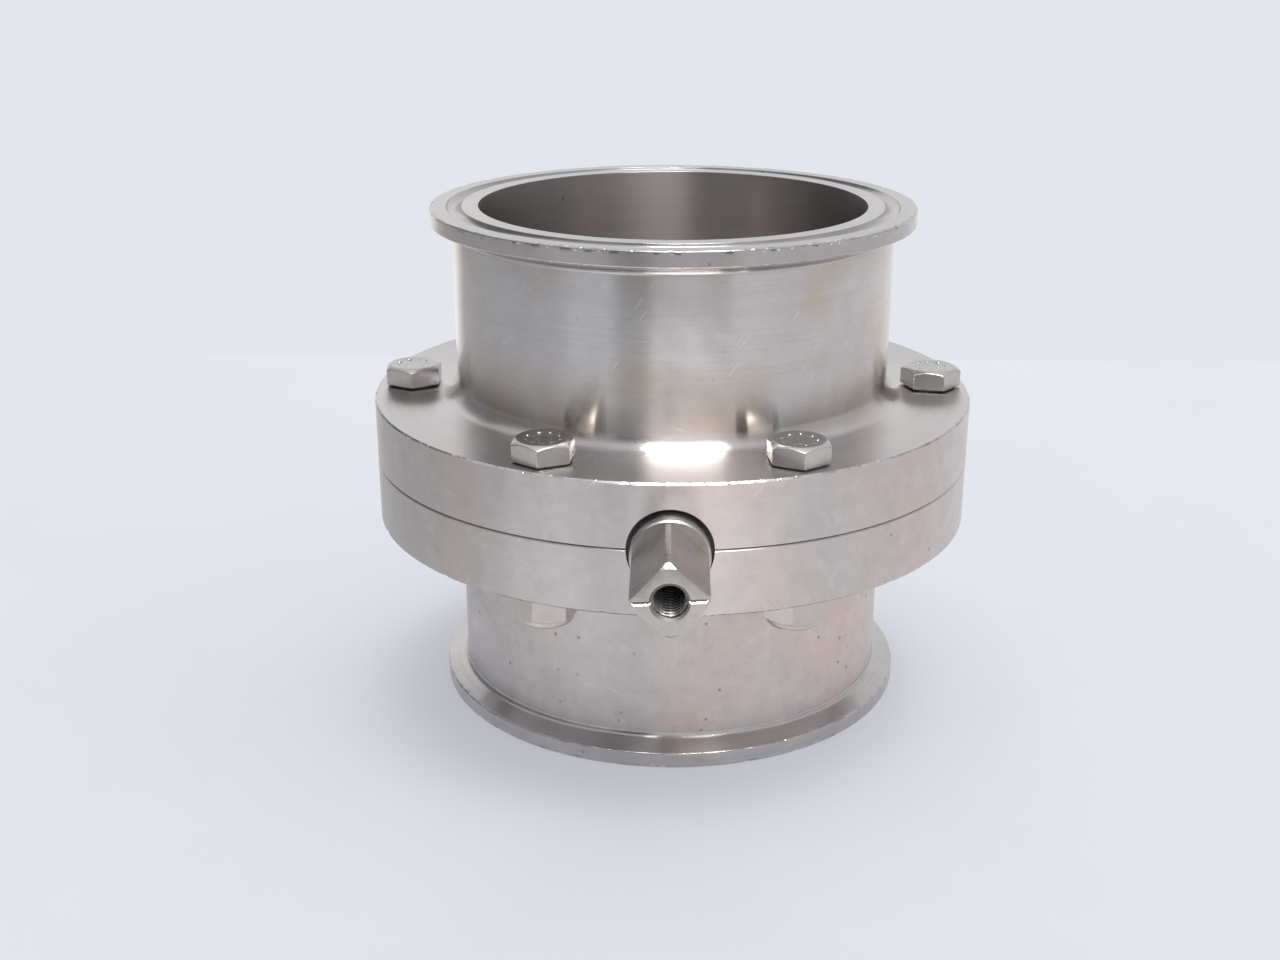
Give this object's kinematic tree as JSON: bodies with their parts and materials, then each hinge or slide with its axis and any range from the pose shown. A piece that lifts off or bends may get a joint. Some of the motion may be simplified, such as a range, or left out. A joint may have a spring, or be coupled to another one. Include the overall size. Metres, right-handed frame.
{
  "type": "hygienic butterfly valve",
  "caption": "Hygienic butterfly valve with clamp ferrules at both ends, bolted split body, elastomer seat, and a square drive stem that turns the disc a quarter turn.",
  "frame": {"origin": "centre of the lower end face, where the flow bore opens", "axes": "+Z along the flow axis from the lower port to the upper port; the drive stem leaves along -Y from the parting plane; +X completes the right-handed frame"},
  "size_m": [0.1146, 0.1347, 0.0946],
  "materials": {
    "body_steel": "turned and blasted stainless steel",
    "disc_steel": "satin stainless steel",
    "stem_steel": "machined stainless steel",
    "fastener_steel": "cold formed stainless steel",
    "seat_rubber": "smooth black elastomer",
    "bush_polymer": "machined dark polymer",
    "insert_polymer": "moulded pale polymer"
  },
  "bodies": {
    "body": {"upper_body": "body_steel", "lower_body": "body_steel", "seat_ring": "seat_rubber", "front_bush": "bush_polymer", "rear_bush": "bush_polymer", "bolt_1": "fastener_steel", "nut_1": "fastener_steel", "nut_insert_1": "insert_polymer", "bolt_2": "fastener_steel", "nut_2": "fastener_steel", "nut_insert_2": "insert_polymer", "bolt_3": "fastener_steel", "nut_3": "fastener_steel", "nut_insert_3": "insert_polymer", "bolt_4": "fastener_steel", "nut_4": "fastener_steel", "nut_insert_4": "insert_polymer", "bolt_5": "fastener_steel", "nut_5": "fastener_steel", "nut_insert_5": "insert_polymer", "bolt_6": "fastener_steel", "nut_6": "fastener_steel", "nut_insert_6": "insert_polymer"},
    "disc_and_stem": {"disc": "disc_steel", "drive_stem": "stem_steel", "trunnion": "stem_steel"}
  },
  "joints": [
    {"name": "disc_turn", "type": "hinge", "parent": "body", "child": "disc_and_stem", "pos_m": [0, 0, 0.0473], "axis": [0, -1, 0], "range_deg": [0, 90]}
  ]
}
